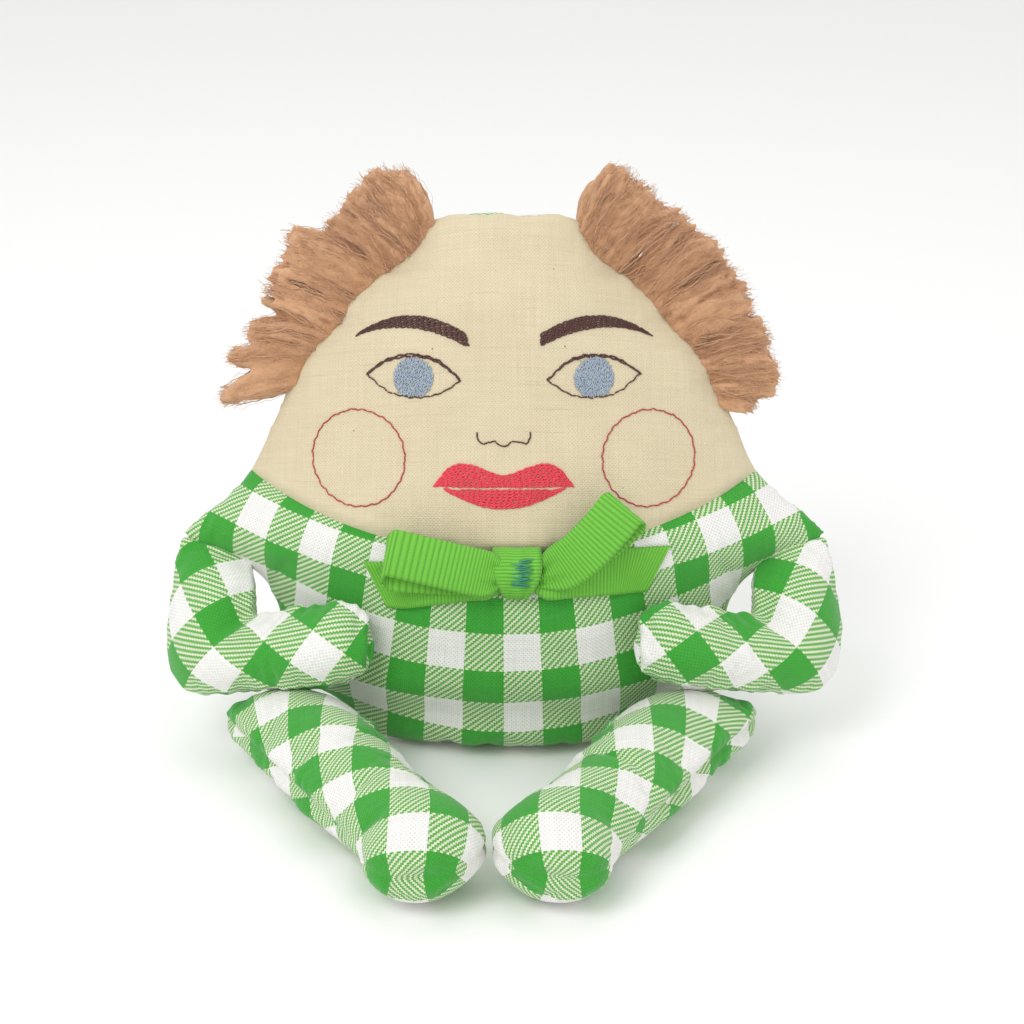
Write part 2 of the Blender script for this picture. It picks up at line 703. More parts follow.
def makeLeg(sideName, side):
    upper = sideName + "_thigh"
    lower = sideName + "_shin"
    knee = Vector(joints[sideName + "_knee"]["pos_m"])
    layout = {"right": (1, 0, 0), "up": (0, 1, 0)}

    def plump(place):
        return Vector((place.x, place.y, place.z * legSkin["rise"]))

    def shallowAtFoot(place):
        return 0.3 + 0.7 * ease((place.y - legSkin["footLine"]) / legSkin["footReach"])

    skin, parts = limbSkin(sideName + "LegCloth", upper, lower, "_top_panel", "_under_panel",
                           legSkin, [layout, layout], 23.0 * side, shallowAtFoot, plump)
    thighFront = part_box(upper + "_top_panel")[0][1]
    kneeEnd = Vector((knee.x - side * legSkin["kneeInset"], thighFront, knee.z))
    line = (kneeEnd - knee).normalized()
    toShin = Vector((line.y, -line.x, 0)) * side
    if toShin.y > 0:
        toShin.negate()
    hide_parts(*parts)
    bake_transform(skin)
    return skin


for sideName, side in (("left", 1), ("right", -1)):
    makeArm(sideName, side)
    makeLeg(sideName, side)
print("limbs made")


# a geometry node tree with named inputs, and its first and last node
def newTree(name, inputs):
    tree = bpy.data.node_groups.new(name, "GeometryNodeTree")
    for label, kind in (("Guide", "Geometry"), *inputs):
        tree.interface.new_socket(name=label, in_out="INPUT", socket_type="NodeSocket" + kind)
    tree.interface.new_socket(name="Geometry", in_out="OUTPUT", socket_type="NodeSocketGeometry")
    return tree, tree.nodes.new("NodeGroupInput"), tree.nodes.new("NodeGroupOutput")


def namedVector(tree, name, kind="FLOAT_VECTOR"):
    node = tree.nodes.new("GeometryNodeInputNamedAttribute")
    node.data_type = kind
    node.inputs["Name"].default_value = name
    return next(socket for socket in node.outputs if socket.enabled and socket.name == "Attribute")


# puts a stitch on every guide point, turned by its two directions
def stitchTree():
    tree, start, end = newTree("stitches on points", (
        ("Stitch", "Object"), ("Thread", "Material"), ("Unevenness", "Float"), ("Seed", "Int")))
    link = tree.links.new
    info = tree.nodes.new("GeometryNodeObjectInfo")
    link(start.outputs["Stitch"], info.inputs["Object"])
    first = tree.nodes.new("FunctionNodeAlignRotationToVector")
    first.axis = "Z"
    link(namedVector(tree, "facing"), first.inputs["Vector"])
    second = tree.nodes.new("FunctionNodeAlignRotationToVector")
    second.axis = "X"
    second.pivot_axis = "Z"
    link(first.outputs["Rotation"], second.inputs["Rotation"])
    link(namedVector(tree, "aim"), second.inputs["Vector"])
    chance = tree.nodes.new("FunctionNodeRandomValue")
    chance.data_type = "FLOAT"
    low = tree.nodes.new("ShaderNodeMath")
    low.operation = "SUBTRACT"
    low.inputs[0].default_value = 1.0
    link(start.outputs["Unevenness"], low.inputs[1])
    high = tree.nodes.new("ShaderNodeMath")
    high.operation = "ADD"
    high.inputs[0].default_value = 1.0
    link(start.outputs["Unevenness"], high.inputs[1])
    link(low.outputs[0], chance.inputs[2])
    link(high.outputs[0], chance.inputs[3])
    link(start.outputs["Seed"], chance.inputs["Seed"])
    size = tree.nodes.new("ShaderNodeVectorMath")
    size.operation = "SCALE"
    link(namedVector(tree, "size"), size.inputs[0])
    link(chance.outputs[1], size.inputs["Scale"])
    place = tree.nodes.new("GeometryNodeInstanceOnPoints")
    link(start.outputs["Guide"], place.inputs["Points"])
    link(info.outputs["Geometry"], place.inputs["Instance"])
    link(second.outputs["Rotation"], place.inputs["Rotation"])
    link(size.outputs[0], place.inputs["Scale"])
    real = tree.nodes.new("GeometryNodeRealizeInstances")
    link(place.outputs[0], real.inputs[0])
    paint = tree.nodes.new("GeometryNodeSetMaterial")
    link(real.outputs[0], paint.inputs["Geometry"])
    link(start.outputs["Thread"], paint.inputs["Material"])
    link(paint.outputs[0], end.inputs[0])
    return tree


# makes a round strand of every guide line
def strandTree():
    tree, start, end = newTree("strands", (("Wool", "Material"), ("Sides", "Int")))
    link = tree.links.new
    curve = tree.nodes.new("GeometryNodeMeshToCurve")
    link(start.outputs["Guide"], curve.inputs["Mesh"])
    radius = tree.nodes.new("GeometryNodeSetCurveRadius")
    link(curve.outputs[0], radius.inputs["Curve"])
    link(namedVector(tree, "thickness", "FLOAT"), radius.inputs["Radius"])
    ring = tree.nodes.new("GeometryNodeCurvePrimitiveCircle")
    link(start.outputs["Sides"], ring.inputs["Resolution"])
    ring.inputs["Radius"].default_value = 1.0
    body = tree.nodes.new("GeometryNodeCurveToMesh")
    link(radius.outputs[0], body.inputs["Curve"])
    link(ring.outputs["Curve"], body.inputs["Profile Curve"])
    body.inputs["Fill Caps"].default_value = True
    if "Scale" in body.inputs:
        link(namedVector(tree, "thickness", "FLOAT"), body.inputs["Scale"])
    real = tree.nodes.new("GeometryNodeRealizeInstances")
    link(body.outputs[0], real.inputs[0])
    paint = tree.nodes.new("GeometryNodeSetMaterial")
    link(real.outputs[0], paint.inputs["Geometry"])
    link(start.outputs["Wool"], paint.inputs["Material"])
    link(paint.outputs[0], end.inputs[0])
    return tree


def runTree(obj, tree, values):
    modifier = obj.modifiers.new("nodes", "NODES")
    modifier.node_group = tree
    for item in tree.interface.items_tree:
        if item.in_out == "INPUT" and item.name in values:
            modifier[item.identifier] = values[item.name]
    bakeModifiers(obj)
    return smoothShade(obj)


def addAttribute(obj, name, kind, values):
    made = obj.data.attributes.new(name, kind, "POINT")
    key = "vector" if kind == "FLOAT_VECTOR" else "value"
    made.data.foreach_set(key, np.array(values, np.float32).reshape(-1))


# a closed ring of thread along a closed path round the origin
def thickLoop(name, path, radius, sides):
    verts = []
    count = len(path)
    for index, point in enumerate(path):
        ahead = (path[(index + 1) % count] - path[index - 1]).normalized()
        across = ahead.cross(Vector((0, 0, 1))).normalized()
        for side in range(sides):
            angle = 2 * math.pi * side / sides
            verts.append(point + radius * (across * math.cos(angle) + Vector((0, 0, math.sin(angle)))))
    faces = []
    for index in range(count):
        for side in range(sides):
            a = index * sides + side
            b = index * sides + (side + 1) % sides
            c = (index + 1) % count * sides + (side + 1) % sides
            d = (index + 1) % count * sides + side
            faces.append((a, d, c, b))
    return meshObject(name, verts, faces)


# one link of chain stitch, a unit long along X: a drop-shaped loop of thread
def chainLink():
    path = []
    for step in range(14):
        angle = 2 * math.pi * step / 14
        narrow = 0.62 - 0.38 * math.cos(angle)
        path.append(Vector((0.62 * math.cos(angle), 0.30 * narrow * math.sin(angle) * 1.35,
                            0.10 + 0.08 * math.cos(angle))))
    return thickLoop("chain link", path, 0.19, 5)


# one plain stitch, a unit long along X and a unit wide, arched over the cloth
def runStitch():
    verts = []
    rings = 7
    sides = 6
    for ring in range(rings):
        share = ring / (rings - 1)
        radius = 0.5 * math.sqrt(max(1 - (2 * share - 1) ** 4, 0.02))
        lift = 0.35 * math.sin(math.pi * share) - 0.15
        for side in range(sides):
            angle = 2 * math.pi * side / sides
            verts.append((1.1 * (share - 0.5), radius * math.cos(angle), lift + radius * math.sin(angle)))
    faces = []
    for ring in range(rings - 1):
        for side in range(sides):
            a = ring * sides + side
            b = ring * sides + (side + 1) % sides
            faces.append((a, b, b + sides, a + sides))
    faces.append(tuple(reversed(range(sides))))
    faces.append(tuple((rings - 1) * sides + side for side in range(sides)))
    made = meshObject("run stitch", verts, faces)
    work = bmesh.new()
    work.from_mesh(made.data)
    bmesh.ops.recalc_face_normals(work, faces=work.faces)
    work.to_mesh(made.data)
    work.free()
    return made


stitchNodes = stitchTree()
strandNodes = strandTree()
linkShape = chainLink()
stitchShape = runStitch()
faceTree = BVHTree.FromObject(faceCloth, bpy.context.evaluated_depsgraph_get())
bodyTree = BVHTree.FromObject(bodyCloth, bpy.context.evaluated_depsgraph_get())


# the place on the torso's cloth in front of a point given on the torso, and its normal
def onCloth(x, height, trees=(faceTree,)):
    best = None
    for tree in trees:
        hit = tree.ray_cast(torsoPoint(x, 0.2, height), -outOfTorso)
        if hit[0] is not None and (best is None or hit[0].dot(outOfTorso) > best[0].dot(outOfTorso)):
            best = hit
    if best is None:
        best = min((tree.find_nearest(torsoPoint(x, 0.02, height)) for tree in trees), key=lambda h: h[3])
    place, normal = best[0], best[1]
    if normal.dot(outOfTorso) < 0:
        normal = -normal
    return place, normal


# stitches as (x, height, angle, length, width, lift) on the face become one piece of thread
def sewing(name, stitches, shape, material, nodeNames, unevenness=0.06, seed=1):
    verts = []
    facing = []
    aims = []
    sizes = []
    for x, height, angle, length, width, lift in stitches:
        place, normal = onCloth(x, height)
        aim = Vector((math.cos(angle), 0, 0)) + alongTorso * math.sin(angle)
        aim = (aim - normal * aim.dot(normal)).normalized()
        verts.append(place + normal * lift)
        facing.append(normal)
        aims.append(aim)
        sizes.append((length, width, width))
    piece = meshObject(name, verts, [])
    addAttribute(piece, "facing", "FLOAT_VECTOR", facing)
    addAttribute(piece, "aim", "FLOAT_VECTOR", aims)
    addAttribute(piece, "size", "FLOAT_VECTOR", sizes)
    runTree(piece, stitchNodes, {"Stitch": shape, "Thread": materials[material],
                                 "Unevenness": unevenness, "Seed": seed})
    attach(piece, "torso")
    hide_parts(*nodeNames)
    return piece


# tests whether a point of the torso's front lies within a node's flat outline
def flatShape(nodeName):
    tree = treeOf(nodeName)

    def inside(x, height):
        return tree.ray_cast(torsoPoint(x, 0.2, height), -outOfTorso)[0] is not None
    return inside


# left, right, bottom and top of a node, laid out on the torso
def flatBox(nodeName):
    points = [onTorso(v.co) for v in nodes[nodeName].data.vertices]
    xs = [p.x for p in points]
    heights = [p.z for p in points]
    return min(xs), max(xs), min(heights), max(heights)


# rows of chain stitch that fill a long shape from end to end
def rowsOfLinks(nodeName, rowHeight, linkLength, seed):
    chance = random.Random(seed)
    inside = flatShape(nodeName)
    left, right, bottom, top = flatBox(nodeName)
    columns = 90
    spans = []
    for column in range(columns + 1):
        x = left + (right - left) * column / columns
        hits = [bottom + (top - bottom) * k / 120 for k in range(121)]
        hits = [h for h in hits if inside(x, h)]
        spans.append((x, hits[0], hits[-1]) if hits else None)
    spans = [span for span in spans if span]
    thickest = max(high - low for x, low, high in spans)
    rows = max(1, round(thickest / rowHeight))
    stitches = []
    for row in range(rows):
        share = (row + 0.5) / rows
        run = 0.0
        nextAt = linkLength * chance.uniform(0.1, 0.5)
        for (x0, low0, high0), (x1, low1, high1) in zip(spans, spans[1:]):
            h0 = low0 + (high0 - low0) * share
            h1 = low1 + (high1 - low1) * share
            step = math.hypot(x1 - x0, h1 - h0)
            run += step
            if run < nextAt:
                continue
            nextAt += linkLength
            thick = high1 - low1
            middle = abs(share - 0.5) * 2
            if thick < 0.45 * thickest and row % 2 == 1 and middle > 0.3:
                continue
            angle = math.atan2(h1 - h0, x1 - x0) + chance.uniform(-0.12, 0.12)
            width = min(max(thick / rows * 1.25, 0.62 * rowHeight), 1.35 * rowHeight)
            stitches.append((x1, h1 + chance.uniform(-0.05, 0.05) * rowHeight, angle,
                             linkLength * 0.98, width * 1.5, 0.10 * mm))
    return stitches


# stitches end to end along a smooth line, each a little askew
def lineStitches(points, length, width, seed, closed=False, sway=0.17):
    chance = random.Random(seed)
    dense = []
    count = len(points)
    for index in range(count if closed else count - 1):
        before = points[(index - 1) % count] if closed or index else points[index]
        here = points[index]
        after = points[(index + 1) % count]
        last = (index + 2) % count if closed else min(index + 2, count - 1)
        beyond = points[last]
        for step in range(24):
            t = step / 24
            dense.append(tuple(
                0.5 * (2 * b + (c - a) * t + (2 * a - 5 * b + 4 * c - d) * t * t
                       + (3 * b - a - 3 * c + d) * t ** 3)
                for a, b, c, d in zip(before, here, after, beyond)))
    dense.append(points[0] if closed else points[-1])
    total = sum(math.dist(a, b) for a, b in zip(dense, dense[1:]))
    count = max(2, round(total / length))
    step = total / count
    stitches = []
    run = 0.0
    middle = step / 2
    for a, b in zip(dense, dense[1:]):
        run += math.dist(a, b)
        if run >= middle:
            middle += step
            tilt = sway * (1 if len(stitches) % 2 else -1) + chance.uniform(-0.08, 0.08)
            angle = math.atan2(b[1] - a[1], b[0] - a[0]) + tilt
            drift = chance.uniform(-0.3, 0.3) * width
            stitches.append((b[0] - drift * math.sin(angle), b[1] + drift * math.cos(angle), angle,
                             step * 1.18, width, 0.12 * mm))
    return stitches


faceWork = {
    "browRow": 0.72 * mm, "browLink": 1.55 * mm, "lipRow": 0.78 * mm, "lipLink": 1.5 * mm,
    "line": 0.42 * mm, "lidLine": 0.5 * mm, "lineStitch": 1.45 * mm, "ringLine": 0.4 * mm,
}


def makeEye(sideName, side):
    left, right, bottom, top = flatBox(sideName + "_eye_outline")
    width = right - left
    line = faceWork["lidLine"]
    inner = (left if side > 0 else right, bottom + (top - bottom) * 0.44)
    outer = (right if side > 0 else left, bottom + (top - bottom) * 0.54)
    middle = (left + right) / 2
    lower = [inner, (middle - side * width * 0.26, bottom + (top - bottom) * 0.13), (middle, bottom + line),
             (middle + side * width * 0.26, bottom + (top - bottom) * 0.15), outer]
    upper = [inner, (middle - side * width * 0.27, bottom + (top - bottom) * 0.83), (middle, top - line),
             (middle + side * width * 0.27, bottom + (top - bottom) * 0.84), outer]
    raised = [(x, height + line * 0.9) for x, height in upper[1:-1]]
    stitches = lineStitches(lower, faceWork["lineStitch"], faceWork["line"], 5)
    stitches += lineStitches(upper, faceWork["lineStitch"], line, 6)
    stitches += lineStitches([inner] + raised + [outer], faceWork["lineStitch"], line, 7)
    sewing(sideName + "EyeLine", stitches, stitchShape, "brown_thread", [sideName + "_eye_outline"], 0.1, 4)


def makeIris(sideName):
    chance = random.Random(31 if sideName == "left" else 32)
    inside = flatShape(sideName + "_iris")
    left, right, bottom, top = flatBox(sideName + "_iris")
    stitches = []
    spacing = 0.36 * mm
    for column in range(int((right - left) / spacing) + 1):
        for row in range(int((top - bottom) / (spacing * 1.6)) + 1):
            x = left + (column + chance.uniform(-0.35, 0.35)) * spacing
            height = bottom + (row + chance.uniform(-0.4, 0.4)) * spacing * 1.6
            if inside(x, height):
                angle = math.pi / 2 + chance.uniform(-0.9, 0.9)
                stitches.append((x, height, angle, chance.uniform(0.8, 1.4) * mm, 0.36 * mm,
                                 chance.uniform(0.08, 0.26) * mm))
    sewing(sideName + "Iris", stitches, stitchShape, "iris_thread", [sideName + "_iris"], 0.1, 8)


def makeFace():
    for sideName, side in (("left", 1), ("right", -1)):
        brow = rowsOfLinks(sideName + "_brow", faceWork["browRow"], faceWork["browLink"], 12)
        sewing(sideName + "Brow", brow, linkShape, "brown_thread", [sideName + "_brow"], 0.1, 2)
        makeEye(sideName, side)
        makeIris(sideName)
        left, right, bottom, top = flatBox(sideName + "_cheek_ring")
        centre = ((left + right) / 2, (bottom + top) / 2)
        radius = (right - left) / 2 - faceWork["ringLine"]
        ring = [(centre[0] + radius * math.cos(k * math.pi / 8),
                 centre[1] + radius * math.sin(k * math.pi / 8))
                for k in range(16)]
        ringStitches = lineStitches(ring, faceWork["lineStitch"], faceWork["ringLine"], 9, True)
        sewing(sideName + "CheekRing", ringStitches,
               stitchShape, "cheek_thread", [sideName + "_cheek_ring"], 0.08, 5)
    for nodeName, seed in (("upper_lip", 21), ("lower_lip", 22)):
        links = rowsOfLinks(nodeName, faceWork["lipRow"], faceWork["lipLink"], seed)
        pieceName = "upperLip" if seed == 21 else "lowerLip"
        sewing(pieceName, links, linkShape, "crimson_thread", [nodeName], 0.1, 3)
    left, right, bottom, top = flatBox("nose_outline")
    half = (right - left) / 2 - faceWork["line"]
    middle = (left + right) / 2
    tall = top - bottom
    nose = [(middle - half, top - 0.1 * tall), (middle - half * 0.85, bottom + 0.34 * tall),
            (middle - half * 0.35, bottom + 0.40 * tall), (middle, bottom + 0.16 * tall),
            (middle + half * 0.35, bottom + 0.40 * tall), (middle + half * 0.85, bottom + 0.34 * tall),
            (middle + half, top - 0.1 * tall)]
    sewing("noseLine", lineStitches(nose, faceWork["lineStitch"] * 0.8, faceWork["line"], 10),
           stitchShape, "brown_thread", ["nose_outline"], 0.08, 6)


makeFace()
print("face sewn")


hairs = {
    # each lock: root from, root to (shares of the seam), lean in degrees, length and tip width in mm
    "left": [(0.00, 0.10, -14, 10, 7), (0.04, 0.24, 0, 18, 11), (0.16, 0.40, 14, 19.5, 12),
             (0.30, 0.58, 28, 22, 15), (0.46, 0.74, 38, 22.5, 13), (0.60, 0.88, 45, 22, 13),
             (0.76, 0.98, 52, 22, 11), (0.88, 1.00, 64, 21, 9.5)],
    "right": [(0.00, 0.14, -14, 20.5, 5), (0.12, 0.26, 3, 20.5, 5), (0.22, 0.38, 10, 19.5, 6.5),
              (0.32, 0.66, 27, 22, 17), (0.54, 0.74, 35, 25, 6), (0.62, 0.84, 43, 20.5, 8),
              (0.72, 0.92, 46, 22, 8), (0.82, 0.99, 54, 22.5, 10), (0.90, 1.00, 64, 18.5, 9)],
    "lowestRoot": 4 * mm, "highestRoot": 13 * mm,   # from the ends of the locks' boxes
    "seed": {"left": 5, "right": 9}, "deep": 2.7 * mm, "spacing": 1.25 * mm, "girth": 1.25 * mm,
    "voxel": 0.5 * mm, "rounds": 2, "wave": 0.55 * mm, "waveScale": 330,
    "points": 20, "wisps": 34, "wisp": 0.20 * mm, "fluff": 110, "hair": 0.05 * mm,
}


def readOff(values, share):
    place = min(max(share, 0), 1) * (len(values) - 1)
    index = min(int(place), len(values) - 2)
    return values[index] + (values[index + 1] - values[index]) * (place - index)


def seamOfHead(sideName, side):
    locks = [n for n in nodes if n.startswith(sideName + "_hair_lock")]
    roots = [onTorso(v.co) for lock in locks for v in nodes[lock].data.vertices]
    low = min(p.z for p in roots) + hairs["lowestRoot"]
    high = max(p.z for p in roots) - hairs["highestRoot"]
    line = []
    for step in range(41):
        height = low + (high - low) * step / 40
        widths = [k * 0.25 * mm for k in range(60, 300)]
        rays = [faceTree.ray_cast(torsoPoint(w * side, 0.2, height), -outOfTorso) for w in widths]
        widths = [w for w, hit in zip(widths, rays) if hit[0] is not None]
        line.append((max(widths) if widths else 25 * mm, height))
    return line, locks


# paths of the strands of one lock: (points, girths, shades)
def strandsOfLock(lock, line, amount, chance, depth, overshoot, crimp, girthAt):
    rootLow, rootHigh, lean, length, tipWidth = lock
    widths = [w for w, h in line]
    heights = [h for w, h in line]
    middle = (rootLow + rootHigh) / 2
    lean = math.radians(lean)
    way = Vector((math.cos(lean), math.sin(lean)))
    across = Vector((math.sin(lean), -math.cos(lean)))
    tip = Vector((readOff(widths, middle), readOff(heights, middle))) + way * length * mm
    made = []
    for _ in range(amount):
        q = chance.uniform(0, 1)
        layer = chance.uniform(-1, 1)
        share = rootHigh + (rootLow - rootHigh) * q
        start = Vector((readOff(widths, share) - 1.4 * mm, readOff(heights, share)))
        side = 2 * q - 1
        end = tip + across * (side * tipWidth / 2 * mm)
        end -= way * length * mm * (0.07 * side * side + 0.10 * layer * layer + chance.uniform(-0.02, 0.10))
        end += way * chance.uniform(0, 1) * overshoot
        bend = chance.gauss(0, 0.06) + 0.05
        points = []
        girths = []
        shades = []
        shade = min(max(0.5 + 0.16 * layer + chance.gauss(0, 0.13), 0), 1)
        phase = Vector((chance.uniform(0, 9), chance.uniform(0, 9), chance.uniform(0, 9)))
        for step in range(hairs["points"]):
            t = step / (hairs["points"] - 1)
            place = start.lerp(end, t)
            chord = end - start
            place += Vector((-chord.y, chord.x)) * (bend * math.sin(math.pi * t))
            stand = depth * layer * (0.5 + 0.75 * math.sin(math.pi * (0.08 + 0.84 * t)))
            kink = noise.noise_vector(Vector((place.x, place.y, stand)) * hairs["waveScale"] + phase * 0.25)
            place += Vector((kink.x, kink.y)) * crimp * (0.35 + 0.65 * t)
            points.append((place.x, stand + kink.z * crimp, place.y))
            girths.append(girthAt(t))
            shades.append(min(max(shade - 0.30 * (1 - t) ** 2 + 0.12 * t, 0), 1))
        made.append((points, girths, shades))
    return made


def strandMesh(name, strands, side, sides):
    verts = []
    edges = []
    girths = []
    shades = []
    for points, widths, tints in strands:
        base = len(verts)
        verts += [torsoPoint(x * side, stand, height) for x, stand, height in points]
        edges += [(base + k, base + k + 1) for k in range(len(points) - 1)]
        girths += widths
        shades += tints
    piece = meshObject(name, verts, [], edges)
    addAttribute(piece, "thickness", "FLOAT", girths)
    addAttribute(piece, "strandShade", "FLOAT", shades)
    runTree(piece, strandNodes, {"Wool": materials["yarn_hair"], "Sides": sides})
    return piece, verts, shades


def makeHair(sideName, side):
    chance = random.Random(hairs["seed"][sideName])
    line, locks = seamOfHead(sideName, side)
    thick = []
    thin = []

    def blunt(t):
        full = 0.62 + 0.38 * math.sin(math.pi * min(0.15 + t, 1))
        return hairs["girth"] * full * (0.7 if t == 1 else 1.0)

    def pointed(t):
        return hairs["wisp"] * (1 - 0.5 * t)

    def fine(t):
        return hairs["hair"]

    for lock in hairs[sideName]:
        amount = int(3.4 * (lock[4] + 3) * mm / hairs["spacing"])
        thick += strandsOfLock(lock, line, amount, chance, hairs["deep"], 0.0, hairs["wave"] * 1.6, blunt)
        wide = (lock[4] + 3) / 10
        thin += strandsOfLock(lock, line, int(hairs["wisps"] * wide), chance,
                              hairs["deep"] * 1.45, 0.4 * mm, hairs["wave"] * 2.2, pointed)
        thin += strandsOfLock(lock, line, int(hairs["fluff"] * wide), chance,
                              hairs["deep"] * 1.6, 1.3 * mm, hairs["wave"] * 3.6, fine)
    wool, places, shades = strandMesh(sideName + "Hair", thick, side, 8)
    remesh = wool.modifiers.new("felt", "REMESH")
    remesh.mode = "VOXEL"
    remesh.voxel_size = hairs["voxel"]
    bakeModifiers(wool)
    soften = wool.modifiers.new("soften", "SMOOTH")
    soften.iterations = hairs["rounds"]
    bakeModifiers(wool)
    tree = KDTree(len(places))
    for order, place in enumerate(places):
        tree.insert(place, order)
    tree.balance()
    addAttribute(wool, "strandShade", "FLOAT", [shades[tree.find(v.co)[1]] for v in wool.data.vertices])
    wool.data.materials.clear()
    wool.data.materials.append(materials["yarn_hair"])
    smoothShade(wool)
    wisps = strandMesh(sideName + "HairWisps", thin, side, 4)[0]
    for piece in (wool, wisps):
        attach(piece, "torso")
    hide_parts(*locks)
    print(sideName, "hair:", len(thick), "strands of wool,", len(wool.data.polygons), "faces")


makeHair("left", 1)
makeHair("right", -1)
print("hair made")


bow = {"pitch": 0.95 * mm, "rib": 0.24 * mm, "thickness": 0.34 * mm, "width": 12.7 * mm}


# a ribbed ribbon. placeAt(s, u) gives the middle of the ribbon at a length and a place across
def ribbonPiece(name, placeAt, length, nodeNames, flat, across=12):
    steps = max(8, int(length / bow["pitch"] * 6))
    grid = []
    for i in range(steps + 1):
        grid.append([placeAt(length * i / steps, -1 + 2 * j / across) for j in range(across + 1)])
    front = []
    back = []
    for i in range(steps + 1):
        for j in range(across + 1):
            alongWay = grid[min(i + 1, steps)][j] - grid[max(i - 1, 0)][j]
            acrossWay = grid[i][min(j + 1, across)] - grid[i][max(j - 1, 0)]
            normal = alongWay.cross(acrossWay).normalized()
            u = -1 + 2 * j / across
            s = length * i / steps
            ridge = bow["rib"] * math.sqrt(abs(math.cos(math.pi * s / bow["pitch"])))
            if abs(u) > 0.93:
                ridge = bow["rib"] * 0.55
            half = bow["thickness"] / 2 + ridge
            front.append(grid[i][j] + normal * half)
            back.append(grid[i][j] - normal * half)
    wide = across + 1
    count = len(front)
    faces = []
    for i in range(steps):
        for j in range(across):
            a = i * wide + j
            faces.append((a, a + wide, a + wide + 1, a + 1))
            faces.append((count + a, count + a + 1, count + a + wide + 1, count + a + wide))
    for i in range(steps):
        for j, flip in ((0, False), (across, True)):
            a = i * wide + j
            quad = (a, count + a, count + a + wide, a + wide)
            faces.append(tuple(reversed(quad)) if flip else quad)
    for j in range(across):
        for i, flip in ((0, True), (steps, False)):
            a = i * wide + j
            quad = (a, count + a, count + a + 1, a + 1)
            faces.append(tuple(reversed(quad)) if flip else quad)
    piece = meshObject(name, front + back, faces)
    work = bmesh.new()
    work.from_mesh(piece.data)
    bmesh.ops.recalc_face_normals(work, faces=work.faces)
    work.to_mesh(piece.data)
    work.free()
    grain = piece.data.uv_layers.new(name="grain")
    for loop in piece.data.loops:
        index = loop.vertex_index % count
        grain.data[loop.index].uv = (length * (index // wide) / steps,
                                     flat[0] * ((index % wide) / across - 0.5))
    piece.data.materials.append(materials["ribbon"])
    smoothShade(piece)
    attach(piece, "torso")
    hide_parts(*nodeNames)
    return piece


def knotPlace():
    left, right, bottom, top = flatBox("bow_knot")
    stands = [onTorso(v.co).y for v in nodes["bow_knot"].data.vertices]
    middle = Vector(((left + right) / 2, min(stands), (bottom + top) / 2))
    return middle, max(stands) - min(stands), top - bottom


knotMiddle, knotDeep, knotTall = knotPlace()


def makeKnot():
    length = 1.62 * knotTall

    def placeAt(s, u):
        t = s / length
        angle = math.pi * (0.5 - t) * 1.06
        up = math.sin(angle) * knotTall * 0.50
        out = math.cos(angle) ** 0.8 * knotDeep if math.cos(angle) > 0 else 0.0
        half = (6.4 - 3.4 * ease((t - 0.42) / 0.5)) * mm
        pleat = 0.42 * mm * math.cos(2.5 * math.pi * u) * (0.4 + 0.6 * abs(math.sin(angle)))
        sag = -0.9 * mm * u * u
        return torsoPoint(knotMiddle.x + u * half, knotMiddle.y + out + pleat + sag, knotMiddle.z + up)
    return ribbonPiece("bowKnot", placeAt, length, ["bow_knot"], (bow["width"], length))


# out from the knot, round a soft fold and back. sweep is how far it runs level before it turns
def makeLoop(name, nodeName, side, turn, fan, reach, behind, sweep):
    bend = 1.7 * mm
    start = Vector((4.2 * mm, -0.4 * mm))
    run = reach - 5.0 * mm
    length = 2 * run + math.pi * bend

    def middleLine(t, angle):
        turned = Vector((math.cos(angle), math.sin(angle)))
        end = start + Vector((sweep * 0.62, 0)) + turned * (run - sweep * 0.5)
        knee = start + Vector((sweep, 0))
        place = start * (1 - t) ** 2 + knee * 2 * t * (1 - t) + end * t * t
        way = (knee - start) * (1 - t) + (end - knee) * t
        return place, way.normalized() if sweep else (end - start).normalized()

    def placeAt(s, u):
        if s < run:
            t = s / run
            back = 0.0
        elif s < run + math.pi * bend:
            t = 1.0
            back = (s - run) / (math.pi * bend)
        else:
            t = (length - s) / run
            back = 1.0
        angle = math.radians(turn - fan * ease(back))
        place, way = middleLine(t, angle)
        fold = math.pi * back
        place += way * bend * math.sin(fold)
        fullness = (0.5 + 1.3 * math.sin(math.pi * min(t, 1) * 0.9) + 0.9 * t) * mm
        out = fullness * math.cos(fold) + knotDeep * (0.5 - behind * (1 - ease(t * 1.4)))
        pinch = 0.50 + 0.50 * ease(t * 2.4)
        half = bow["width"] / 2 * pinch
        pleat = 0.8 * mm * math.cos(2.6 * math.pi * u + 0.6) * (1 - ease(t * 1.9))
        curl = 0.45 * mm * (u * u) * (-1 if back < 0.5 else 1) * ease(t)
        x = knotMiddle.x + side * (place.x - u * half * way.y)
        height = knotMiddle.z + place.y + u * half * way.x
        return torsoPoint(x, knotMiddle.y + out + pleat + curl, height)
    return ribbonPiece(name, placeAt, length, [nodeName], (bow["width"], length))


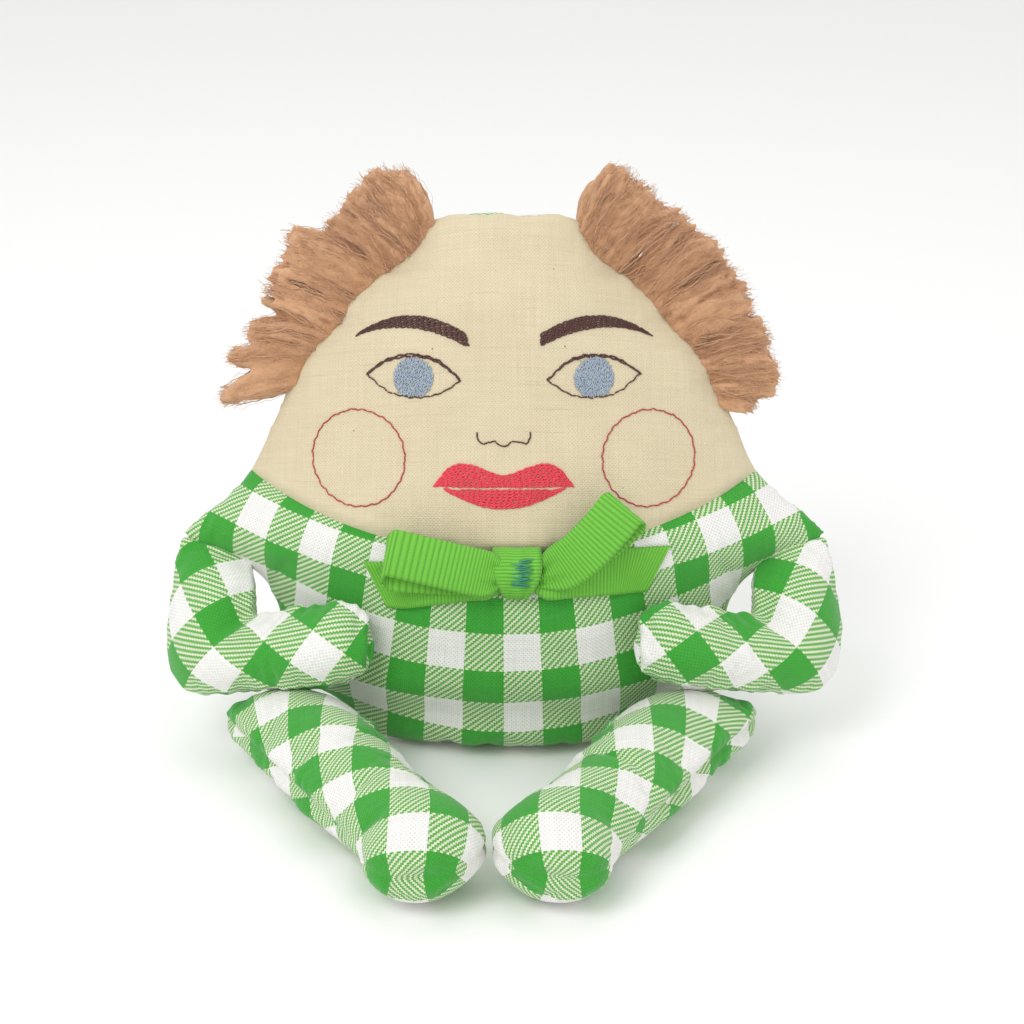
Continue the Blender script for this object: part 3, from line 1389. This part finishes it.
def makeTail(name, nodeName, side, drop, front):
    left, right = flatBox(nodeName)[:2]
    reach = (right if side > 0 else -left) - side * knotMiddle.x
    length = reach - 2.5 * mm
    slant = 6.2 * mm

    def placeAt(s, u):
        t = s / length
        cut = slant * (0.5 - 0.5 * u) * ease((t - 0.55) / 0.45)
        along = 2.5 * mm + s - cut
        pinch = 0.66 + 0.34 * ease((along - 3.5 * mm) / (5 * mm))
        half = bow["width"] / 2 * pinch
        x = knotMiddle.x + side * along
        height = knotMiddle.z + drop * ease(t * 1.1) * mm - 0.6 * mm + u * half
        onFlat = onTorso(onCloth(x, height, (bodyTree, faceTree))[0])
        lift = (0.75 + 0.5 * (1 - ease(t * 2.5)) + 0.35 * math.sin(5.0 * t + 1.1 * u)) * mm
        lift += 1.3 * mm * (1 - ease(t * 3.5))
        lift += front * mm * ease(along / (7 * mm) - 0.6) * (1 - ease(t * 1.9))
        pleat = 0.5 * mm * math.cos(2.6 * math.pi * u) * (1 - ease(t * 3))
        return torsoPoint(x, onFlat.y + lift + pleat, height)
    return ribbonPiece(name, placeAt, length, [nodeName], (bow["width"], length + slant * 0.5))


def makeTacking():
    chance = random.Random(4)
    knotTree = BVHTree.FromObject(bpy.data.objects["bowKnot"], bpy.context.evaluated_depsgraph_get())
    verts = []
    facing = []
    aims = []
    sizes = []
    for index in range(13):
        x = knotMiddle.x + 1.2 * mm + chance.uniform(-0.5, 0.5) * mm
        height = knotMiddle.z + (index - 4.5) * 0.56 * mm
        angle = 0.12 + chance.uniform(-0.24, 0.24)
        hit = knotTree.ray_cast(torsoPoint(x, 0.2, height), -outOfTorso)
        if hit[0] is None:
            continue
        verts.append(hit[0] + outOfTorso * 0.1 * mm)
        facing.append(outOfTorso)
        aims.append(Vector((math.cos(angle), 0, 0)) + alongTorso * math.sin(angle))
        sizes.append((chance.uniform(4.2, 5.6) * mm, 0.42 * mm, 0.7 * mm))
    piece = meshObject("bowTacking", verts, [])
    addAttribute(piece, "facing", "FLOAT_VECTOR", facing)
    addAttribute(piece, "aim", "FLOAT_VECTOR", aims)
    addAttribute(piece, "size", "FLOAT_VECTOR", sizes)
    runTree(piece, stitchNodes, {"Stitch": stitchShape, "Thread": materials["teal_thread"],
                                 "Unevenness": 0.05, "Seed": 3})
    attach(piece, "torso")
    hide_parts("bow_tacking_thread")


makeTail("bowLeftTail", "bow_left_tail", 1, 0.4, 2.9)
makeTail("bowRightTail", "bow_right_tail", -1, -3.6, 0.0)
makeLoop("bowLeftLoop", "bow_left_loop", 1, 46, 6, 34 * mm, 0.42, 9 * mm)
makeLoop("bowRightLoop", "bow_right_loop", -1, 13, 9, 34 * mm, 0.0, 0.0)
makeKnot()
makeTacking()
for shape in (linkShape, stitchShape):
    bpy.data.objects.remove(shape)
print("bow tied")


stage = {"elevation": math.radians(25), "place": (2.2 * mm, -492.3 * mm, 298.2 * mm), "lens": 71.6,
         "underFloor": 0.2 * mm, "world": 0.85}


def makeStage():
    camera = bpy.data.objects.new("camera", bpy.data.cameras.new("camera"))
    scene.collection.objects.link(camera)
    camera.data.lens = stage["lens"]
    camera.data.clip_start = 0.01
    camera.location = stage["place"]
    camera.rotation_euler = (math.pi / 2 - stage["elevation"], 0, 0)
    scene.camera = camera
    floor = meshObject("floor", [(-3, -3, 0), (3, -3, 0), (3, 3, 0), (-3, 3, 0)], [(0, 1, 2, 3)])
    floor.location.z = cadBox[0][2] - stage["underFloor"]
    made, shader = newMaterial("pale floor")[::2]
    shader.inputs["Base Color"].default_value = (0.93, 0.93, 0.92, 1)
    shader.inputs["Roughness"].default_value = 0.9
    floor.data.materials.append(made)
    world = bpy.data.worlds.new("studio")
    world.use_nodes = True
    world.node_tree.nodes["Background"].inputs[0].default_value = (1, 1, 1, 1)
    world.node_tree.nodes["Background"].inputs[1].default_value = stage["world"]
    scene.world = world
    for name, place, size, power in (
        ("key light", (-0.45, -0.55, 0.85), 0.5, 4.0),
        ("fill light", (0.7, -0.5, 0.45), 0.7, 0.8),
        ("top light", (0.0, 0.25, 0.9), 0.6, 1.0),
    ):
        lamp = bpy.data.lights.new(name, "AREA")
        lamp.size = size
        lamp.energy = power
        holder = bpy.data.objects.new(name, lamp)
        scene.collection.objects.link(holder)
        holder.location = place
        holder.rotation_euler = (Vector((0, 0, 0.06)) - Vector(place)).to_track_quat("-Z", "Y").to_euler()


makeStage()
scene.view_settings.view_transform = "Standard"
print("stage set")
